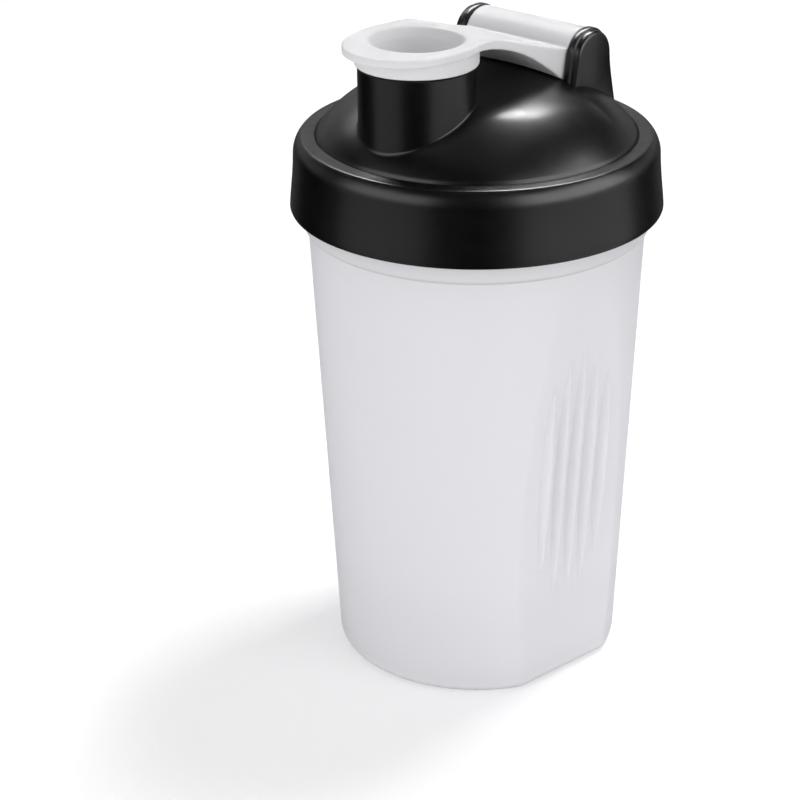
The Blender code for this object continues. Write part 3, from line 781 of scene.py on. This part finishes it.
def dome_clearance():
    """What the arm keeps clear of: the dome in front of the saddle, and a little air."""
    front, run, low = -6.0, 18.5, 147.0
    rings = []
    for i in range(33):
        x = -17.0 + 34.0 * i / 32
        ring = []
        for k in range(9):
            y = front + run * k / 8
            ring.append((x, y, dome_height(x, y) + ARM_AIR))
        top = ring[-1][2]
        for k in range(10):
            z = top + (low - top) * k / 9
            ring.append((x, HINGE_Y - math.sqrt(SADDLE_REACH ** 2 - (HINGE_Z - z) ** 2), z))
        ring.append((x, front, low))
        rings.append(ring)
    return skin("dome_clearance", rings)


def make_flip_cap(surface):
    cap = prism_x("white_flip_cap", cap_side_outline(), -30.0, 30.0)
    barrel = arc((HINGE_Y, HINGE_Z), BARREL_R, 0, 357, 119)
    combine(cap, prism_x("barrel", barrel, -31.0, 31.0), "UNION")
    combine(cap, prism_z("plan", cap_plan_outline(), HINGE_Z - 12, CAP_TOP_Z + 5), "INTERSECT")
    stub = arc((HINGE_Y, HINGE_Z), STUB_R, 0, 350, 35)
    stub_end = BARREL_HALF + STUB_REACH
    combine(cap, prism_x("stubs", stub, -stub_end, stub_end), "UNION")
    centre = (0.0, SPOUT_Y)
    drum = [(DRUM_R, PLUG_Z), (DRUM_R, CAP_UNDER_Z + 0.7)]
    combine(cap, turned("drum", drum, 128, centre), "UNION")
    groove = [(9.5, PLUG_Z - 1.0), (9.5, PLUG_Z), (10.1, PLUG_Z + 0.6), (11.2, GROOVE_Z)]
    groove += [(13.3, GROOVE_Z), (13.3, LIP_Z + 0.4), (13.6, LIP_Z)]
    groove += [(DRUM_R + 2.0, LIP_Z), (DRUM_R + 2.0, PLUG_Z - 1.0)]
    combine(cap, turned("groove", groove, 128, centre, loop=True, phase=0.5), "DIFFERENCE")
    dish = [(7.6, PLUG_Z + 1.2), (8.6, PLUG_Z + 1.5), (9.15, PLUG_Z + 2.3), (10.1, GROOVE_Z)]
    dish += [(11.0, CAP_TOP_Z - 0.6), (11.25, CAP_TOP_Z - 0.25), (11.6, CAP_TOP_Z)]
    dish += [(12.0, CAP_TOP_Z + 2)]
    combine(cap, turned("dish", dish, 128, centre, phase=0.25), "DIFFERENCE")
    combine(cap, dome_clearance(), "DIFFERENCE")
    remesh = cap.modifiers.new("even", "REMESH")
    remesh.mode = "VOXEL"
    remesh.voxel_size = VOXEL * MM
    soften = cap.modifiers.new("soften", "SMOOTH")
    soften.factor = 0.5
    soften.iterations = 3
    apply_modifiers(cap)
    finish_piece(cap, surface, "cap", "flip_cap", sharp=None)


# ---------------------------------------------------------------- stage

def make_floor():
    half = 4000
    corners = [(-half, -half, 0), (half, -half, 0), (half, half, 0), (-half, half, 0)]
    floor = mesh_object("floor", corners, [(0, 1, 2, 3)])
    made = Finish("floor_white", (0.86, 0.86, 0.86), 0.9, specular=0.1)
    made.set("Emission Color", (1.0, 1.0, 1.0, 1.0))
    made.set("Emission Strength", FLOOR_GLOW)
    floor.data.materials.append(made.material)
    floor.location.z = -0.0001
    floor.visible_glossy = False


def screen_place(right, away, up):
    """A place given as seen from the camera: to its right, away from it, and up."""
    turn = math.radians(CAMERA_TURN)
    return (right * math.cos(turn) - away * math.sin(turn),
            right * math.sin(turn) + away * math.cos(turn), up)


def make_camera():
    data = bpy.data.cameras.new("camera")
    data.lens = CAMERA_LENS
    data.sensor_width = 36.0
    data.shift_x = CAMERA_SHIFT
    data.clip_start = 0.01
    data.clip_end = 50.0
    camera = bpy.data.objects.new("camera", data)
    bpy.context.scene.collection.objects.link(camera)
    camera.location = screen_place(0.0, -CAMERA_AWAY, CAMERA_UP)
    camera.rotation_euler = (math.radians(90 - CAMERA_PITCH), 0.0, math.radians(CAMERA_TURN))
    bpy.context.scene.camera = camera


def sky_place(azimuth, elevation, distance):
    """A place seen from the bottle: azimuth from straight behind it towards the right."""
    az, el = math.radians(azimuth), math.radians(elevation)
    flat = distance * math.cos(el)
    up = distance * math.sin(el) + AIM_UP
    return screen_place(flat * math.sin(az), flat * math.cos(az), up)


def softbox(name, azimuth, elevation, distance, size, power):
    """A light for shade and shadow only: reflections come from the cards."""
    data = bpy.data.lights.new(name, "AREA")
    data.shape = "RECTANGLE"
    data.size = data.size_y = size
    data.energy = power
    light = bpy.data.objects.new(name, data)
    bpy.context.scene.collection.objects.link(light)
    light.location = sky_place(azimuth, elevation, distance)
    turn = math.radians(CAMERA_TURN - azimuth + 180)
    light.rotation_euler = (math.radians(90 - elevation), 0.0, turn)
    light.visible_glossy = False


def card(name, azimuths, elevations, glow, distance=1.6):
    """A bent card that shows in reflections only."""
    points = []
    steps = 12
    for i in range(steps + 1):
        azimuth = azimuths[0] + (azimuths[1] - azimuths[0]) * i / steps
        for elevation in elevations:
            x, y, z = sky_place(azimuth, elevation, distance)
            points.append((x / MM, y / MM, z / MM))
    faces = [(2 * i, 2 * i + 1, 2 * i + 3, 2 * i + 2) for i in range(steps)]
    piece = mesh_object(name, points, faces)
    made = bpy.data.materials.new(name)
    made.use_nodes = True
    tree = made.node_tree
    tree.nodes.remove(tree.nodes["Principled BSDF"])
    shine = tree.nodes.new("ShaderNodeEmission")
    shine.inputs["Strength"].default_value = glow
    tree.links.new(shine.outputs["Emission"], tree.nodes["Material Output"].inputs["Surface"])
    made.cycles.emission_sampling = "NONE"
    piece.data.materials.append(made)
    piece.visible_camera = False
    piece.visible_diffuse = False
    piece.visible_transmission = False
    piece.visible_shadow = False


def make_lights():
    world = bpy.data.worlds.new("studio")
    world.use_nodes = True
    back = world.node_tree.nodes["Background"]
    back.inputs["Color"].default_value = (0.98, 0.98, 1.0, 1.0)
    back.inputs["Strength"].default_value = WORLD_GLOW
    world.cycles_visibility.glossy = False
    bpy.context.scene.world = world
    softbox("key", 46, 64, 1.1, 0.30, 6.8)
    softbox("side", 124, 14, 1.3, 0.9, 5.0)
    softbox("fill", -140, 12, 1.3, 0.9, 6.6)
    card("card_back", (-75, 75), (0, 20), 0.3)
    card("card_ring", (-50, -28), (26, 38), 3.0)
    card("card_streak", (-46, 30), (48, 58), 38.0)
    card("card_left", (-94, -152), (4, 36), 2.3)
    card("card_left_low", (-92, -150), (-65, 0), 0.5)
    card("card_right", (78, 154), (4, 44), 4.0)
    card("card_right_low", (74, 154), (-65, 0), 0.75)
    card("card_back_low", (-40, 40), (-60, 0), 0.1)
    card("card_top", (-180, 180), (66, 89), 0.22, 2.2)


make_camera()
make_floor()
make_lights()
make_cup(frosted_plastic())
make_lid(black_plastic())
make_flip_cap(white_plastic())
for node, surface in (("lid_gasket", silicone()), ("mixing_sieve", sieve_plastic())):
    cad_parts[node].material_slots[0].material = surface
bpy.context.scene.view_settings.view_transform = "Standard"
